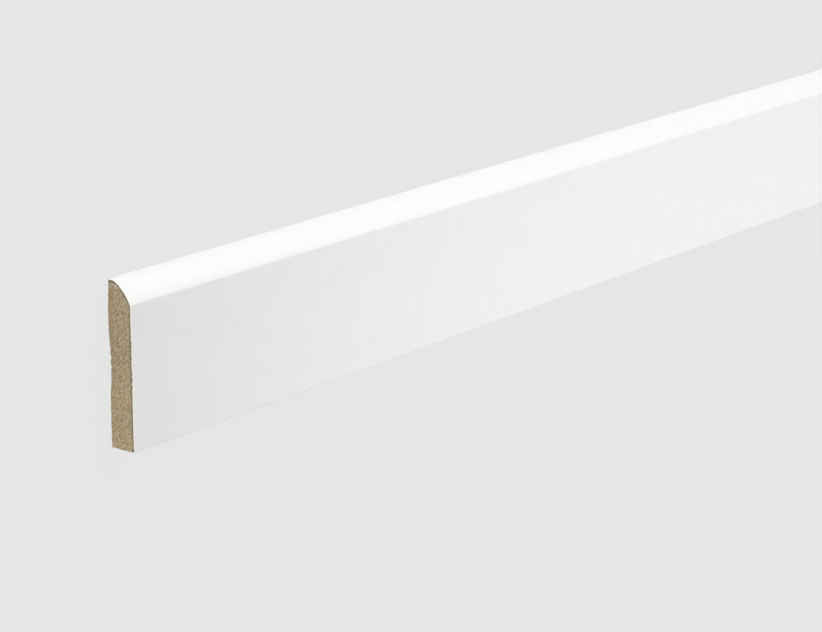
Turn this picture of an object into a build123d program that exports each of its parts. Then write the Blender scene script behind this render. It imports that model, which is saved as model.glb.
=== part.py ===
from build123d import *

import os

# White coated fibreboard strip that covers a joint between two panels.
# It lies on its back. Length runs along X and width along Y, with the crowned
# bevel on the +Y edge. Thickness runs along Z, with the white front face up.
# Every size is in millimetres.

# Stock
strip_length = 2400.0
strip_width = 70.0
strip_thickness = 12.0

# Crowned bevel: an arc between the front face and the flat of the long edge
edge_flat = 3.5
bevel_reach = 9.0
crown_radius = 20.0

# Blends that take the hard line off both ends of the bevel
edge_blend_radius = 2.0
front_blend_radius = 2.0

# Square edge, with its front corner just broken
corner_break = 0.4

# Section corners, as width and thickness coordinates
bevel_side = strip_width / 2
square_side = -strip_width / 2
square_back = (square_side, 0)
square_front = (square_side, strip_thickness)
bevel_back = (bevel_side, 0)
bevel_on_edge = (bevel_side, edge_flat)
bevel_on_front = (bevel_side - bevel_reach, strip_thickness)


def hard_section():
    """Section of the strip before any corner is eased."""
    outline = [
        Line(square_back, bevel_back),
        Line(bevel_back, bevel_on_edge),
        RadiusArc(bevel_on_edge, bevel_on_front, -crown_radius),
        Line(bevel_on_front, square_front),
        Line(square_front, square_back),
    ]
    return make_face(outline)


def ease_corner(section, corner, radius):
    """The section with the corner at this place rounded."""
    vertex = section.vertices().sort_by_distance(corner)[0]
    return fillet(vertex, radius)


def make_cover_strip():
    """One straight length of the moulding, centred on the origin along its length."""
    section = hard_section()
    section = ease_corner(section, bevel_on_edge, edge_blend_radius)
    section = ease_corner(section, bevel_on_front, front_blend_radius)
    section = ease_corner(section, square_front, corner_break)
    return extrude(Plane.YZ * section, amount=strip_length / 2, both=True)


os.makedirs("parts", exist_ok=True)
export_step(make_cover_strip(), "parts/cover_strip.step")
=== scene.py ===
from math import atan2, ceil, cos, hypot, pi, radians, sin, sqrt

import bpy
import numpy as np
from mathutils import Euler, Matrix, Vector, noise


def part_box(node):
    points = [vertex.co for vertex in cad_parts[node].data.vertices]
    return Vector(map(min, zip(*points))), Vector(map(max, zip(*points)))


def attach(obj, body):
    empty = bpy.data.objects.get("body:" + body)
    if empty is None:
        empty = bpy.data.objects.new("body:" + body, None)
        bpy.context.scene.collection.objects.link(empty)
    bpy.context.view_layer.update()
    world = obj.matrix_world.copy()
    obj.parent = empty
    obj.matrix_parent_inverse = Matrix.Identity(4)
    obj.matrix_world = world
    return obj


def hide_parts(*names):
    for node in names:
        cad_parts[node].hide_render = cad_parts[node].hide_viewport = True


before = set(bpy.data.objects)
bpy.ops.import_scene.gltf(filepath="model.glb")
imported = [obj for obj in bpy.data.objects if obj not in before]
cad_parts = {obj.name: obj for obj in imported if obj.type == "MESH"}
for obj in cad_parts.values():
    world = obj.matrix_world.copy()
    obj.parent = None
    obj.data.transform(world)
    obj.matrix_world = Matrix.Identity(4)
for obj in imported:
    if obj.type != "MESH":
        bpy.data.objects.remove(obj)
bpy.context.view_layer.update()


# The strip is one length of medium-density fibreboard, run through a moulder
# that crowns one long edge, coated white on its front and both long edges, and
# cut off square with a fine saw. Its back stays bare.
mm = 0.001

# It lies on its back with its middle on the origin, so its highest corner gives
# half its length, half its width, and its thickness.
end_x, side_y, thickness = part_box("cover_strip")[1]
square_y = -side_y
edge_flat = 3.5 * mm
bevel_reach = 9 * mm
crown_radius = 20 * mm
edge_blend_radius = 2 * mm
front_blend_radius = 2 * mm
corner_break = 0.4 * mm

# The crown's centre lies square to its chord, on the board's side of it.
bevel_rise = thickness - edge_flat
chord = hypot(bevel_reach, bevel_rise)
centre_depth = sqrt(crown_radius**2 - chord**2 / 4)
crown_y = side_y - bevel_reach / 2 - centre_depth * bevel_rise / chord
crown_z = thickness - bevel_rise / 2 - centre_depth * bevel_reach / chord

# Each blend touches the crown from inside and its own flat face.
front_z = thickness - front_blend_radius
front_y = crown_y + sqrt((crown_radius - front_blend_radius) ** 2 - (front_z - crown_z) ** 2)
edge_y = side_y - edge_blend_radius
edge_z = crown_z + sqrt((crown_radius - edge_blend_radius) ** 2 - (edge_y - crown_y) ** 2)
front_tilt = atan2(front_y - crown_y, front_z - crown_z)
edge_tilt = atan2(edge_y - crown_y, edge_z - crown_z)

# Arcs of the coated side, from the square edge over the front to the bevelled
# edge: centre, radius, and the tilt of the surface at both ends of the arc.
coated_arcs = [
    ((square_y + corner_break, thickness - corner_break), corner_break, -pi / 2, 0),
    ((front_y, front_z), front_blend_radius, 0, front_tilt),
    ((crown_y, crown_z), crown_radius, front_tilt, edge_tilt),
    ((edge_y, edge_z), edge_blend_radius, edge_tilt, pi / 2),
]

# The mesh's points lie about this far apart round the section and over its ends.
point_gap = 0.25 * mm
fewest_arc_steps = 2


def evenly(start, stop, count):
    """Points in count equal steps from start to stop, both ends included."""
    steps = np.linspace(0, 1, count + 1)[:, None]
    return np.asarray(start) * (1 - steps) + np.asarray(stop) * steps


def along_arc(centre, radius, start, stop):
    """Points about a gap apart along an arc, by the tilt of the surface."""
    count = max(fewest_arc_steps, ceil(radius * (stop - start) / point_gap))
    tilts = np.linspace(start, stop, count + 1)
    return np.asarray(centre) + radius * np.stack([np.sin(tilts), np.cos(tilts)], 1)


def once_round(bottom, right, top, left):
    """The four sides of a grid as one loop, beginning at the square edge's back corner."""
    return np.concatenate([bottom, right[1:], top[-2::-1], left[-2:0:-1]])


rounds = [along_arc(*arc) for arc in coated_arcs]
front_flat = evenly(rounds[0][-1], rounds[1][0], ceil((front_y - square_y) / point_gap))
coated = np.concatenate([rounds[0], front_flat[1:], *[arc[1:] for arc in rounds[1:]]])
columns = len(coated) - 1
rows = ceil(thickness / point_gap)
back = evenly((square_y, 0), (side_y, 0), columns)
square_edge = evenly(back[0], coated[0], rows)
bevelled_edge = evenly(back[-1], coated[-1], rows)

# The section's outline, with the way into the board at each of its points and
# the length round to it.
outline = once_round(back, bevelled_edge, coated, square_edge)
run = np.roll(outline, -1, axis=0) - outline
step_length = np.hypot(*run.T)
inward = np.stack([-run[:, 1], run[:, 0]], 1) / step_length[:, None]
inward = inward + np.roll(inward, 1, axis=0)
inward /= np.hypot(*inward.T)[:, None]
round_length = np.concatenate([[0], np.cumsum(step_length)[:-1]])
back_points = np.arange(len(outline)) <= columns
back_quads = np.arange(len(outline)) < columns


# The saw rubs the coat's arris down to a bright hairline and flakes it off the
# board here and there. The flakes are fine ones on rough ones, and they get worse
# towards the square edge, where the teeth came out. A layer is a slice of the
# noise, so that no two uses of it are alike.
film = 0.1 * mm
board_arris = 0.1 * mm
rubbed = 0.6 * mm
rubbed_back = 0.05 * mm
lip = 0.12 * mm
flake_length = 1.5 * mm
fine_flakes = 3
fine_flake_share = 0.5
fine_flake_layer = 5
deepest_flake = 1.1 * mm
least_flaked = 0.15
worse_from = 0.5
flaked_back = 0.3


def flake_at(length, y, seed):
    """How far the coat has flaked back along the strip, by the length round the section."""
    rough = noise.noise(Vector((length / flake_length, seed, 0)))
    fine = noise.noise(Vector((length / flake_length * fine_flakes, seed, fine_flake_layer)))
    worse = least_flaked + (1 - least_flaked) * min(1, max(0, worse_from - y / side_y))
    return deepest_flake * worse * min(1, max(0, rough + fine_flake_share * fine))


# On the near end a splinter broke off the back arris, past the strip's middle, and
# ran out along the back. The bevelled edge's back corner is rubbed a little blunt.
splinter_middle = -0.8 * mm
splinter_half = 13 * mm
splinter_depth = 0.8 * mm
splinter_rag = 1.9 * mm
splinter_raggedness = 0.6
splinter_layer = 9
splinter_run = 2.6 * mm
blunt_corner = 0.65 * mm
blunt_reach = 12 * mm
blunt_rise = 2 * mm


def splinter_at(y):
    """How far the splinter's bed rises above the back at a place across the width."""
    across = (y - splinter_middle) / splinter_half
    ragged = 1 + splinter_raggedness * noise.noise(Vector((y / splinter_rag, 0, splinter_layer)))
    return splinter_depth * ragged * max(0, 1 - across**2)


def blunted_at(y, z):
    """How far the bevelled edge's back corner is rubbed off."""
    return blunt_corner * max(0, 1 - (side_y - y) / blunt_reach - z / blunt_rise)


broken_off = np.array([splinter_at(y) for y in outline[:, 0]]) * back_points
broken_off += np.array([blunted_at(y, z) for y, z in outline])

# The teeth leave the board's fibres standing in a fine nap, and tear some out.
fibre_size = 0.6 * mm
fibre_depth = 0.06 * mm
tear_size = 1.8 * mm
tear_depth = 0.14 * mm
tear_layer = 3


def relief_at(y, z, seed):
    """How far the torn fibres stand back from the saw cut."""
    fine = noise.noise(Vector((y / fibre_size, z / fibre_size, seed)))
    torn = noise.noise(Vector((y / tear_size, z / tear_size, seed + tear_layer)))
    return fibre_depth * (1 + fine) + tear_depth * max(0, torn)


# Two crumbs of white lacquer stuck in the near end, by the top of the bevel: the
# middle of each across the width and the thickness, and its radius.
crumbs = [((33 * mm, 4.4 * mm), 0.5 * mm), ((32.2 * mm, 5.5 * mm), 0.35 * mm)]

# The sawn ends are drawn darker and greyer along the arrises of the front and the
# bevelled edge, and round the bevelled edge's back corner.
darkened_arris = slice(columns, 2 * columns + rows + 1)
darkened_corner = (side_y, 0)
corner_reach = 4 * mm
corner_darkening = 0.65 * mm
far_from_arris = 9 * mm


def apart(places, others):
    """The distance from each place to the nearest of the others."""
    return np.hypot(*(places[:, None] - others[None]).transpose(2, 0, 1)).min(1)


def from_darkened_arris(places, core):
    """How far places on a sawn end lie from the darker arrises, nearer round the bevelled edge's back
    corner.
    """
    by_corner = np.clip(1 - np.hypot(*(places - darkened_corner).T) / corner_reach, 0, 1)
    return apart(places, core[darkened_arris]) - corner_darkening * by_corner


# The mesh, point by point and quad by quad.
vertices = []
from_arris = []
crumb_cover = []
faces = []
face_materials = []
face_maps = []
bare, coat, cut_coat = 0, 1, 2

# Places in the map named OFBake: a band for each sawn end, one for the back and
# one for the coated faces unrolled. A band is a start and a height.
near_band = (0.01, 0.16)
far_band = (0.19, 0.16)
back_band = (0.37, 0.27)
coated_band = (0.66, 0.33)
map_margin = 0.01
across_map = 1 - 2 * map_margin


def add_points(x, places, arris_distance=far_from_arris, crumb=0):
    """Adds points at this place along the length and returns their numbers."""
    first = len(vertices)
    xs = np.broadcast_to(x, len(places))
    vertices.extend((float(a), float(b), float(c)) for a, (b, c) in zip(xs, places, strict=True))
    from_arris.extend(np.broadcast_to(arris_distance, len(places)).tolist())
    crumb_cover.extend(np.broadcast_to(crumb, len(places)).tolist())
    return np.arange(first, len(vertices))


def add_quads(quads, worn, across, upright, outward=True):
    """Adds quads that wear these materials, with the map places of their corners."""
    places = np.stack([across, upright], -1)
    if not outward:
        quads, places = quads[:, ::-1], places[:, ::-1]
    faces.extend(quads.tolist())
    face_materials.extend(np.broadcast_to(worn, len(quads)).tolist())
    face_maps.extend(places.reshape(-1, 2).tolist())


def ring_quads(ring, after):
    """The quads between two closed rings of points."""
    return np.stack([ring, np.roll(ring, -1), np.roll(after, -1), after], 1)


def grid_between(bottom, right, top, left):
    """A grid of points stretched between four sides that meet at their corners."""
    u = np.linspace(0, 1, len(bottom))[:, None, None]
    v = np.linspace(0, 1, len(left))[None, :, None]
    across = (1 - v) * bottom[:, None] + v * top[:, None]
    upright = (1 - u) * left[None] + u * right[None]
    corners = (1 - u) * ((1 - v) * bottom[0] + v * top[0]) + u * ((1 - v) * bottom[-1] + v * top[-1])
    return across + upright - corners


def split_round(loop):
    """The loop's four sides, the reverse of once_round."""
    bottom = loop[: columns + 1]
    right = loop[columns : columns + rows + 1]
    top = loop[columns + rows : 2 * columns + rows + 1][::-1]
    left = np.concatenate([loop[2 * columns + rows :], loop[:1]])[::-1]
    return bottom, right, top, left


def end_map(quads, band):
    """Map places of a sawn end's quads, the strip's width along the map."""
    corners = np.array(vertices)[quads]
    across = map_margin + across_map * (corners[..., 1] - square_y) / (2 * side_y)
    return across, band[0] + band[1] * corners[..., 2] / thickness


def saw_off(side, seed, splintered, band):
    """Builds one sawn end and returns its arris ring and the x of the ring behind it."""
    flaked = np.array([flake_at(*place, seed) for place in zip(round_length, outline[:, 0], strict=True)])
    flaked *= np.where(back_points, flaked_back, 1)
    behind = flaked + np.where(back_points, rubbed_back, rubbed)
    arris = outline.copy()
    if splintered:
        arris[:, 1] += broken_off
    bed = arris + inward * film
    core = bed + inward * board_arris
    core_grid = grid_between(*split_round(core))
    places = core_grid.reshape(-1, 2)
    relief = np.array([relief_at(y, z, seed) for y, z in places])
    crumb = np.zeros(len(places))
    if splintered:
        for middle, radius in crumbs:
            crumb = np.maximum(crumb, 1 - np.hypot(*(places - middle).T) / radius)

    numbers = add_points(side * (end_x - relief), places, from_darkened_arris(places, core), crumb)
    numbers = numbers.reshape(core_grid.shape[:2])
    core_ring = once_round(numbers[:, 0], numbers[-1], numbers[:, -1], numbers[0])
    bed_ring = add_points(side * (end_x - flaked), bed, from_darkened_arris(bed, core))
    arris_ring = add_points(side * (end_x - behind), arris, from_darkened_arris(arris, core))
    corners = [numbers[:-1, :-1], numbers[1:, :-1], numbers[1:, 1:], numbers[:-1, 1:]]
    for quads, worn in (
        (ring_quads(bed_ring, core_ring), bare),
        (ring_quads(arris_ring, bed_ring), np.where(back_points, bare, cut_coat)),
        (np.stack(corners, -1).reshape(-1, 4), bare),
    ):
        add_quads(quads, worn, *end_map(quads, band), outward=side > 0)
    return arris_ring, side * (end_x - behind - lip)


# Each end has flakes and torn fibres of its own.
near_seed = 11.5
far_seed = 47.5
near_arris, near_lip = saw_off(-1, near_seed, True, near_band)
far_arris, far_lip = saw_off(1, far_seed, False, far_band)

# Rings of the long faces, close together at the ends, where the splinter's bed
# runs out along the back.
ring_gaps = [1.8 * mm, 2.6 * mm, 6 * mm, 20 * mm, 80 * mm, 300 * mm]
near_places = [gap - end_x for gap in ring_gaps]
far_places = [end_x - gap for gap in reversed(ring_gaps)]
rings = [near_arris]
for x in [near_lip, *near_places, 0, *far_places, far_lip]:
    places = outline.copy()
    places[:, 1] += broken_off * np.clip(1 - (x + end_x) / splinter_run, 0, 1)
    rings.append(add_points(x, places))
rings.append(far_arris)

# The map unrolls the long faces, the back in its own band.
back_length = 2 * side_y
coated_length = round_length[-1] + step_length[-1] - back_length
round_start = np.where(back_quads, round_length / back_length, (round_length - back_length) / coated_length)
round_step = step_length / np.where(back_quads, back_length, coated_length)
band_start = np.where(back_quads, back_band[0], coated_band[0])
band_height = np.where(back_quads, back_band[1], coated_band[1])
map_low = band_start + band_height * round_start
map_high = map_low + band_height * round_step
upright_map = np.stack([map_low, map_high, map_high, map_low], 1)
for ring, after in zip(rings, rings[1:]):
    quads = ring_quads(ring, after)
    across_ring = map_margin + across_map * (np.array(vertices)[quads][..., 0] + end_x) / (2 * end_x)
    add_quads(quads, np.where(back_quads, bare, coat), across_ring, upright_map)

sharp_angle = radians(35)
strip_mesh = bpy.data.meshes.new("coated_strip")
strip_mesh.from_pydata(vertices, [], faces)
strip_mesh.polygons.foreach_set("material_index", face_materials)
strip_mesh.polygons.foreach_set("use_smooth", [True] * len(faces))
strip_mesh.attributes.new("from_arris", "FLOAT", "POINT").data.foreach_set("value", from_arris)
strip_mesh.attributes.new("crumb", "FLOAT", "POINT").data.foreach_set("value", crumb_cover)
painted_map = strip_mesh.uv_layers.new(name="OFBake")
painted_map.data.foreach_set("uv", np.ravel(face_maps))
strip_mesh.set_sharp_from_angle(angle=sharp_angle)
strip = bpy.data.objects.new("coated_strip", strip_mesh)
bpy.context.scene.collection.objects.link(strip)


def linear(colour):
    """The linear RGBA of an sRGB hex colour."""
    parts = [int(colour[i : i + 2], 16) / 255 for i in (0, 2, 4)]
    return [p / 12.92 if p <= 0.04045 else ((p + 0.055) / 1.055) ** 2.4 for p in parts] + [1]


def new_material(name):
    """A new material, its node tree, and the shader in it."""
    material = bpy.data.materials.new(name)
    material.use_nodes = True
    return material, material.node_tree, material.node_tree.nodes["Principled BSDF"]


def add_node(tree, kind, inputs=None, **settings):
    """Adds a node with its own settings, and its inputs set to values or linked to sockets.

    An input goes by its name, or by its number where the node has several of that name.
    """
    made = tree.nodes.new(kind)
    for name, value in settings.items():
        setattr(made, name, value)
    for name, value in (inputs or {}).items():
        if isinstance(value, bpy.types.NodeSocket):
            tree.links.new(value, made.inputs[name])
        else:
            made.inputs[name].default_value = value
    return made


# Bare fibreboard, sawn or sanded: short pressed wood fibres, matt and khaki
# brown, which the eye reads as fine specks with no grain. Real fibres are under
# 0.1 mm thick, so the specks are drawn as the 0.5 mm tufts that show from here.
# The board is drawn darker and greyer near the coated arrises and round the bevelled edge's back corner.
board_roughness = 0.9
tuft = 0.5 * mm
pit = 0.75 * mm
pit_depth = 0.1 * mm
pit_strength = 0.6
bundle_width = 0.5 * mm
bundle_length = 2.2 * mm
bundle_turn = radians(-30)
cloud = 45 * mm
cloud_layer = 10.2
cloud_shades = (0.8, 1.2)
fibre_shades = ((0.36, "755F3E"), (0.5, "BBA781"), (1, "FFFFFF"))
darkened_colour = "817A67"
darkened_depth = (0.2 * mm, 1.2 * mm)
crumb_colour = "ECE9DC"
crumb_rim = 0.4

# A noise keeps between these values nearly everywhere.
noise_low, noise_high = 0.3, 0.7

# The colour sockets of a mix node.
mix_a, mix_b, mix_out = 6, 7, 2

board, tree, shader = new_material("sawn_fibreboard")
shader.inputs["Roughness"].default_value = board_roughness
place = add_node(tree, "ShaderNodeTexCoord").outputs["Object"]
tufts = add_node(
    tree, "ShaderNodeTexNoise", {"Vector": place, "Scale": 1 / tuft, "Detail": 1, "Roughness": 0.6}
)
pits = add_node(
    tree, "ShaderNodeTexNoise", {"Vector": place, "Scale": 1 / pit, "Detail": 2, "Roughness": 0.5}
)
turned = add_node(tree, "ShaderNodeMapping", {"Vector": place, "Rotation": (bundle_turn, 0, 0)})
bundle_scale = (1 / bundle_width, 1 / bundle_length, 1 / bundle_width)
along = add_node(tree, "ShaderNodeMapping", {"Vector": turned.outputs[0], "Scale": bundle_scale})
bundles = add_node(tree, "ShaderNodeTexNoise", {"Vector": along.outputs[0], "Scale": 1, "Detail": 1})

# The three patterns count alike.
tone = add_node(
    tree, "ShaderNodeMath", {0: tufts.outputs["Fac"], 1: pits.outputs["Fac"]}, operation="ADD"
)
tone = add_node(tree, "ShaderNodeMath", {0: tone.outputs[0], 1: bundles.outputs["Fac"]}, operation="ADD")
tone = add_node(tree, "ShaderNodeMath", {0: tone.outputs[0], 1: 1 / 3}, operation="MULTIPLY")
shades = add_node(tree, "ShaderNodeValToRGB", {"Fac": tone.outputs[0]})
stops = shades.color_ramp.elements
stops.new(fibre_shades[1][0])
for stop, (position, colour) in zip(stops, fibre_shades, strict=True):
    stop.position = position
    stop.color = linear(colour)

clouds = add_node(
    tree,
    "ShaderNodeTexNoise",
    {"Vector": place, "Scale": 1 / cloud, "W": cloud_layer, "Detail": 1},
    noise_dimensions="4D",
)
clouding = add_node(
    tree,
    "ShaderNodeMapRange",
    {
        "Value": clouds.outputs["Fac"],
        "From Min": noise_low,
        "From Max": noise_high,
        "To Min": cloud_shades[0],
        "To Max": cloud_shades[1],
    },
)
clouded = add_node(
    tree,
    "ShaderNodeMix",
    {"Factor": 1, mix_a: shades.outputs["Color"], mix_b: clouding.outputs[0]},
    data_type="RGBA",
    blend_type="MULTIPLY",
)

from_arris_value = add_node(tree, "ShaderNodeAttribute", attribute_name="from_arris").outputs["Fac"]
# Darker and greyer towards the coated arrises, by the distance from them.
darkening = add_node(
    tree,
    "ShaderNodeMapRange",
    {
        "Value": from_arris_value,
        "From Min": darkened_depth[0],
        "From Max": darkened_depth[1],
        "To Min": 1,
        "To Max": 0,
    },
)
rimmed = add_node(
    tree,
    "ShaderNodeMix",
    {"Factor": darkening.outputs[0], mix_a: clouded.outputs[mix_out], mix_b: linear(darkened_colour)},
    data_type="RGBA",
)
crumb_value = add_node(tree, "ShaderNodeAttribute", attribute_name="crumb").outputs["Fac"]
crumb_share = add_node(tree, "ShaderNodeMapRange", {"Value": crumb_value, "From Max": crumb_rim})
flecked = add_node(
    tree,
    "ShaderNodeMix",
    {"Factor": crumb_share.outputs[0], mix_a: rimmed.outputs[mix_out], mix_b: linear(crumb_colour)},
    data_type="RGBA",
)
tree.links.new(flecked.outputs[mix_out], shader.inputs["Base Color"])
pitted = add_node(
    tree, "ShaderNodeBump", {"Strength": pit_strength, "Distance": pit_depth, "Height": tone.outputs[0]}
)
tree.links.new(pitted.outputs[0], shader.inputs["Normal"])

# White lacquer, sprayed and rolled over a primer: satin and closed, with a trace
# of green in the white and an orange peel so low that it only softens reflections.
lacquer_whites = ("EFF1EE", "F1F3F0")
satin = (0.39, 0.45)
peel_size = 2.4 * mm
peel_height = 0.006 * mm
mottle = 9 * mm

lacquer, tree, shader = new_material("white_lacquer")
place = add_node(tree, "ShaderNodeTexCoord").outputs["Object"]
patches = add_node(tree, "ShaderNodeTexNoise", {"Vector": place, "Scale": 1 / mottle, "Detail": 2})
patchy = add_node(
    tree,
    "ShaderNodeMapRange",
    {"Value": patches.outputs["Fac"], "From Min": noise_low, "From Max": noise_high},
)
whites = add_node(
    tree,
    "ShaderNodeMix",
    {"Factor": patchy.outputs[0], mix_a: linear(lacquer_whites[0]), mix_b: linear(lacquer_whites[1])},
    data_type="RGBA",
)
tree.links.new(whites.outputs[mix_out], shader.inputs["Base Color"])
sheen = add_node(
    tree,
    "ShaderNodeMapRange",
    {
        "Value": patches.outputs["Fac"],
        "From Min": noise_low,
        "From Max": noise_high,
        "To Min": satin[0],
        "To Max": satin[1],
    },
)
tree.links.new(sheen.outputs[0], shader.inputs["Roughness"])
peel = add_node(tree, "ShaderNodeTexNoise", {"Vector": place, "Scale": 1 / peel_size, "Detail": 1})
peeled = add_node(tree, "ShaderNodeBump", {"Distance": peel_height, "Height": peel.outputs["Fac"]})
tree.links.new(peeled.outputs[0], shader.inputs["Normal"])

# The lacquer and primer where the saw cut them: a cream hairline, matt from the
# saw's fine scratches, with the primer's warmer white showing.
primer_creams = ("FAF4E3", "FFFAEC")
scratched_roughness = 0.7

cut_lacquer, tree, shader = new_material("cut_lacquer")
shader.inputs["Roughness"].default_value = scratched_roughness
place = add_node(tree, "ShaderNodeTexCoord").outputs["Object"]
scratches = add_node(tree, "ShaderNodeTexNoise", {"Vector": place, "Scale": 1 / tuft, "Detail": 1})
creams = add_node(
    tree,
    "ShaderNodeMix",
    {"Factor": scratches.outputs["Fac"], mix_a: linear(primer_creams[0]), mix_b: linear(primer_creams[1])},
    data_type="RGBA",
)
tree.links.new(creams.outputs[mix_out], shader.inputs["Base Color"])

for material in (board, lacquer, cut_lacquer):
    strip_mesh.materials.append(material)
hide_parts("cover_strip")
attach(strip, "root")


# Pale matt studio floor, wide enough that no view finds its end. Seen by the
# camera, most of its grey is even, and the rest takes the strip's soft shadow.
floor_half = 300
floor_grey = linear("E6E6E6")
even_share = 0.95
even_level = 1.0075
floor_mesh = bpy.data.meshes.new("studio_floor")
floor_corners = [(x * floor_half, y * floor_half, 0) for x, y in ((-1, -1), (1, -1), (1, 1), (-1, 1))]
floor_mesh.from_pydata(floor_corners, [], [(0, 1, 2, 3)])
floor = bpy.data.objects.new("studio_floor", floor_mesh)
bpy.context.scene.collection.objects.link(floor)


def seen_directly(tree):
    """1 where a camera ray or a mirrored or refracted ray meets the surface, else 0."""
    path = add_node(tree, "ShaderNodeLightPath")
    kinds = ("Camera", "Glossy", "Transmission")
    camera_ray, mirrored, refracted = [path.outputs[f"Is {kind} Ray"] for kind in kinds]
    clear = add_node(tree, "ShaderNodeMath", {0: mirrored, 1: refracted}, operation="MAXIMUM")
    seen = add_node(tree, "ShaderNodeMath", {0: camera_ray, 1: clear.outputs[0]}, operation="MAXIMUM")
    return seen.outputs[0]


paint = bpy.data.materials.new("matt_floor_paint")
paint.use_nodes = True
tree = paint.node_tree
tree.nodes.clear()
lit = add_node(tree, "ShaderNodeBsdfDiffuse", {"Color": floor_grey})
even = add_node(tree, "ShaderNodeEmission", {"Color": floor_grey, "Strength": even_level})
share = add_node(tree, "ShaderNodeMath", {0: seen_directly(tree), 1: even_share}, operation="MULTIPLY")
mixed = add_node(
    tree, "ShaderNodeMixShader", {0: share.outputs[0], 1: lit.outputs[0], 2: even.outputs[0]}
)
add_node(tree, "ShaderNodeOutputMaterial", {"Surface": mixed.outputs[0]})
floor_mesh.materials.append(paint)


# Soft studio light. The room gives an even level, and shows the camera the same
# grey as the floor. The lamps stand so that the bevel is the brightest part and
# the face fades towards the near end.
room_level = 0.29
world = bpy.data.worlds.new("studio_room")
bpy.context.scene.world = world
world.use_nodes = True
tree = world.node_tree
tree.nodes.clear()
room = add_node(tree, "ShaderNodeBackground", {"Color": linear("FFFFFF"), "Strength": room_level})
backdrop = add_node(tree, "ShaderNodeBackground", {"Color": floor_grey, "Strength": 1})
mixed = add_node(
    tree, "ShaderNodeMixShader", {0: seen_directly(tree), 1: room.outputs[0], 2: backdrop.outputs[0]}
)
add_node(tree, "ShaderNodeOutputWorld", {"Surface": mixed.outputs[0]})

middle = (0, 0, 0)
near_end = (-end_x, 0, 0)


def add_lamp(name, kind, energy, place, aim, **settings):
    """Adds a lamp at a place, facing another, with its own settings."""
    lamp_data = bpy.data.lights.new(name, kind)
    lamp_data.energy = energy
    for key, value in settings.items():
        setattr(lamp_data, key, value)
    lamp = bpy.data.objects.new(name, lamp_data)
    lamp.location = place
    lamp.rotation_euler = (Vector(aim) - Vector(place)).to_track_quat("-Z", "Y").to_euler()
    lamp.visible_camera = False
    bpy.context.scene.collection.objects.link(lamp)


def from_sky(height, turn):
    """A place 1 m off, at this height over the floor, turned from +X towards +Y."""
    return (cos(height) * cos(turn), cos(height) * sin(turn), sin(height))


# A long softbox with a grid stands off the square edge, so its light fades
# towards the strip's ends and is even across the face.
long_softbox_size = (2.4, 0.4)
long_softbox_spread = radians(45)
long_softbox_height = radians(52)
long_softbox_turn = radians(-90)
long_softbox_watts = 1.83
add_lamp(
    "long_softbox",
    "AREA",
    long_softbox_watts,
    from_sky(long_softbox_height, long_softbox_turn),
    middle,
    shape="RECTANGLE",
    size=long_softbox_size[0],
    size_y=long_softbox_size[1],
    spread=long_softbox_spread,
)

# A small softbox on the bevel's side brings up the bevel by the near end.
small_softbox_size = (0.5, 0.1)
small_softbox_spread = radians(50)
small_softbox_place = (-1.5, 1.2, 0.25)
small_softbox_watts = 0.05
add_lamp(
    "small_softbox",
    "AREA",
    small_softbox_watts,
    small_softbox_place,
    near_end,
    shape="RECTANGLE",
    size=small_softbox_size[0],
    size_y=small_softbox_size[1],
    spread=small_softbox_spread,
)

# Three broad lights light the bevel along its whole length. A trace of pink in
# them takes the lacquer's green out of it.
broad_light = radians(40)
bevel_light_colour = linear("FFFCFF")[:3]
low_light_height = radians(18)
low_light_turn = radians(60)
low_light_strength = 0.762
high_light_height = radians(36)
high_light_turn = radians(45)
high_light_strength = 0.793
edge_light_breadth = radians(30)
edge_light_height = radians(8)
edge_light_turn = radians(80)
edge_light_strength = 0.834
for name, strength, height, turn, breadth in (
    ("low_bevel_light", low_light_strength, low_light_height, low_light_turn, broad_light),
    ("high_bevel_light", high_light_strength, high_light_height, high_light_turn, broad_light),
    ("edge_light", edge_light_strength, edge_light_height, edge_light_turn, edge_light_breadth),
):
    lamp_place = from_sky(height, turn)
    add_lamp(name, "SUN", strength, lamp_place, middle, angle=breadth, color=bevel_light_colour)

# A low light lies on the near sawn end.
end_light_height = radians(12)
end_light_turn = radians(180)
end_light_strength = 1.14
end_light_place = from_sky(end_light_height, end_light_turn)
add_lamp("end_light", "SUN", end_light_strength, end_light_place, middle, angle=broad_light)


# The photo's camera, worked out from the sawn end and the long edges with the
# strip stood on its square edge. Here the strip lies on its back, and the
# camera is laid down with it.
photo_width = 822
focal_pixels = 2866.9
focal_share = focal_pixels / photo_width
sensor_width = 36
camera_swing = radians(52.476)
camera_dip = radians(15.543)
nearest_seen = 0.05
furthest_seen = 1000

# Where the camera has the near end's corner of square edge and back.
corner_right = -120.057 * mm
corner_below = 52.836 * mm
corner_ahead = 1151.43 * mm

camera_data = bpy.data.cameras.new("camera")
camera_data.sensor_width = sensor_width
camera_data.lens = camera_data.sensor_width * focal_share
camera_data.clip_start = nearest_seen
camera_data.clip_end = furthest_seen
upright = Euler((pi / 2 - camera_dip, 0, -camera_swing)).to_matrix()
laid_down = Matrix.Rotation(-pi / 2, 3, "X") @ upright
near_corner = Vector((-end_x, square_y, 0))
camera_place = near_corner - laid_down @ Vector((corner_right, -corner_below, -corner_ahead))
camera = bpy.data.objects.new("camera", camera_data)
camera.matrix_world = Matrix.Translation(camera_place) @ laid_down.to_4x4()
bpy.context.scene.collection.objects.link(camera)
bpy.context.scene.camera = camera
bpy.context.scene.view_settings.view_transform = "Standard"
